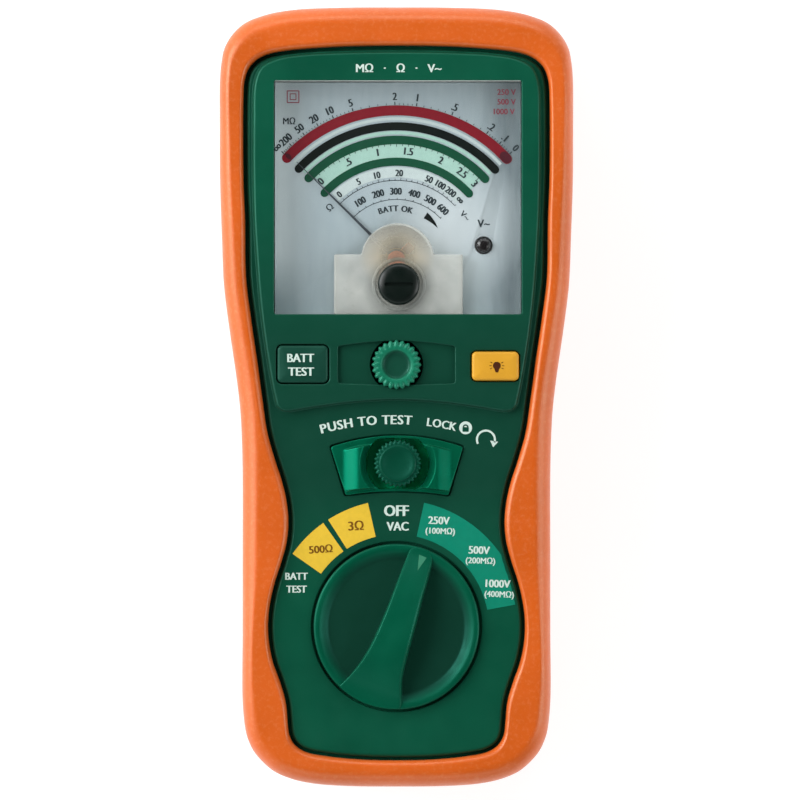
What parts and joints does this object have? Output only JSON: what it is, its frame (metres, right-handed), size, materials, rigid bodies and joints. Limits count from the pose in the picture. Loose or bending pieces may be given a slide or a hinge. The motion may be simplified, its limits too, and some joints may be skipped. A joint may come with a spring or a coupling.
{
  "type": "insulation resistance tester",
  "caption": "Handheld analogue insulation tester: moving-coil meter, push-and-turn test knob, rotary range switch, keys, fold-out stand, rubber boot.",
  "frame": {"origin": "centre of the flat back of the boot, tester lying on its back", "axes": "+X to the right of the face, +Y along the tester towards the jack end, +Z out of the face"},
  "size_m": [0.0908, 0.2, 0.05],
  "materials": {
    "holster_rubber": "moulded satin, orange",
    "case_green": "moulded ABS, fine texture, deep green",
    "dark_green_key": "moulded, dark green",
    "bright_green": "moulded gloss, bright green",
    "knob_green": "moulded satin, deep green",
    "yellow_key": "moulded, amber yellow",
    "black_plastic": "moulded, black",
    "window": "clear, polished",
    "milky_plastic": "translucent, moulded",
    "dial_plate": "satin, printed",
    "white_plastic": "moulded, off-white",
    "steel": "plated",
    "brass": "plain",
    "copper": "enamelled winding",
    "board": "solder resist",
    "cell": "printed sleeve",
    "needle": "black painted",
    "ferrite": "sintered",
    "lens_dark": "dark lens"
  },
  "bodies": {
    "tester": {"holster": "holster_rubber", "stand_pin": "steel", "rear_case": "case_green", "battery_door": "case_green", "battery_door_screw": "steel", "case_screw_1": "steel", "case_screw_2": "steel", "case_screw_3": "steel", "case_screw_4": "steel", "front_case": "case_green", "meter_window": "window", "meter_housing": "white_plastic", "dial_plate": "dial_plate", "movement_cover": "milky_plastic", "movement_yoke": "steel", "movement_core": "ferrite", "hairspring": "brass", "bearing_bridge": "brass", "live_lamp": "lens_dark", "backlight_led": "white_plastic", "zero_adjust_pot": "black_plastic", "key_switch_left": "black_plastic", "key_switch_right": "black_plastic", "test_bezel": "bright_green", "test_spring": "steel", "test_switch": "black_plastic", "main_board": "board", "hv_transformer": "ferrite", "hv_capacitor": "black_plastic", "fuse": "steel", "battery_tray": "black_plastic", "contact_strip_lower": "brass", "contact_strip_upper": "brass", "terminal_block": "black_plastic", "jack_contact_left": "brass", "jack_contact_middle": "brass", "jack_contact_right": "brass", "aa_cell_1": "cell", "aa_cell_2": "cell", "aa_cell_3": "cell", "aa_cell_4": "cell", "aa_cell_5": "cell", "aa_cell_6": "cell", "aa_cell_7": "cell", "aa_cell_8": "cell"},
    "range_knob": {"function_knob": "knob_green", "switch_shaft": "white_plastic", "switch_rotor": "white_plastic", "detent_spring": "steel"},
    "test_slider": {"test_plunger": "white_plastic"},
    "test_cap": {"test_knob": "knob_green"},
    "ohm_zero_knob": {"zero_adjust_knob": "bright_green"},
    "check_key": {"battery_check_button": "dark_green_key"},
    "light_key": {"backlight_button": "yellow_key"},
    "pointer": {"needle": "needle", "moving_coil": "copper", "needle_spindle": "steel"},
    "mechanical_zero": {"zero_screw": "black_plastic"},
    "zero_lever": {"zero_arm": "brass"},
    "stand": {"tilt_stand": "black_plastic"}
  },
  "joints": [
    {"name": "range_turn", "type": "hinge", "parent": "tester", "child": "range_knob", "pos_m": [0, -0.0588, 0.043], "axis": [0, 0, 1], "range_deg": [-45, 90]},
    {"name": "test_press", "type": "slide", "parent": "tester", "child": "test_slider", "axis": [0, 0, -1], "range_m": [0, 0.0025], "deforming": ["test_spring"]},
    {"name": "test_lock_turn", "type": "hinge", "parent": "test_slider", "child": "test_cap", "pos_m": [0.0003, -0.017, 0.043], "axis": [0, 0, 1], "range_deg": [-90, 0]},
    {"name": "ohm_zero_turn", "type": "hinge", "parent": "tester", "child": "ohm_zero_knob", "pos_m": [0, 0.00825, 0.043], "axis": [0, 0, 1], "range_deg": [-135, 135]},
    {"name": "check_key_press", "type": "slide", "parent": "tester", "child": "check_key", "axis": [0, 0, -1], "range_m": [0, 0.001]},
    {"name": "light_key_press", "type": "slide", "parent": "tester", "child": "light_key", "axis": [0, 0, -1], "range_m": [0, 0.001]},
    {"name": "pointer_swing", "type": "hinge", "parent": "tester", "child": "pointer", "pos_m": [0, 0.0352, 0.0366], "axis": [0, 0, 1], "range_deg": [-93, 0]},
    {"name": "mechanical_zero_turn", "type": "hinge", "parent": "tester", "child": "mechanical_zero", "pos_m": [0.0006, 0.0289, 0.042], "axis": [0, 0, 1], "range_deg": [-40, 40]},
    {"name": "zero_lever_turn", "type": "hinge", "parent": "tester", "child": "zero_lever", "pos_m": [0, 0.0352, 0.0354], "axis": [0, 0, 1], "range_deg": [-8.2, 8.2]},
    {"name": "stand_fold", "type": "hinge", "parent": "tester", "child": "stand", "pos_m": [0, 0.03, 0.0022], "axis": [1, 0, 0], "range_deg": [0, 70]}
  ],
  "couplings": [
    {"joint": "zero_lever_turn", "follows": "mechanical_zero_turn", "ratio": 0.2025}
  ]
}
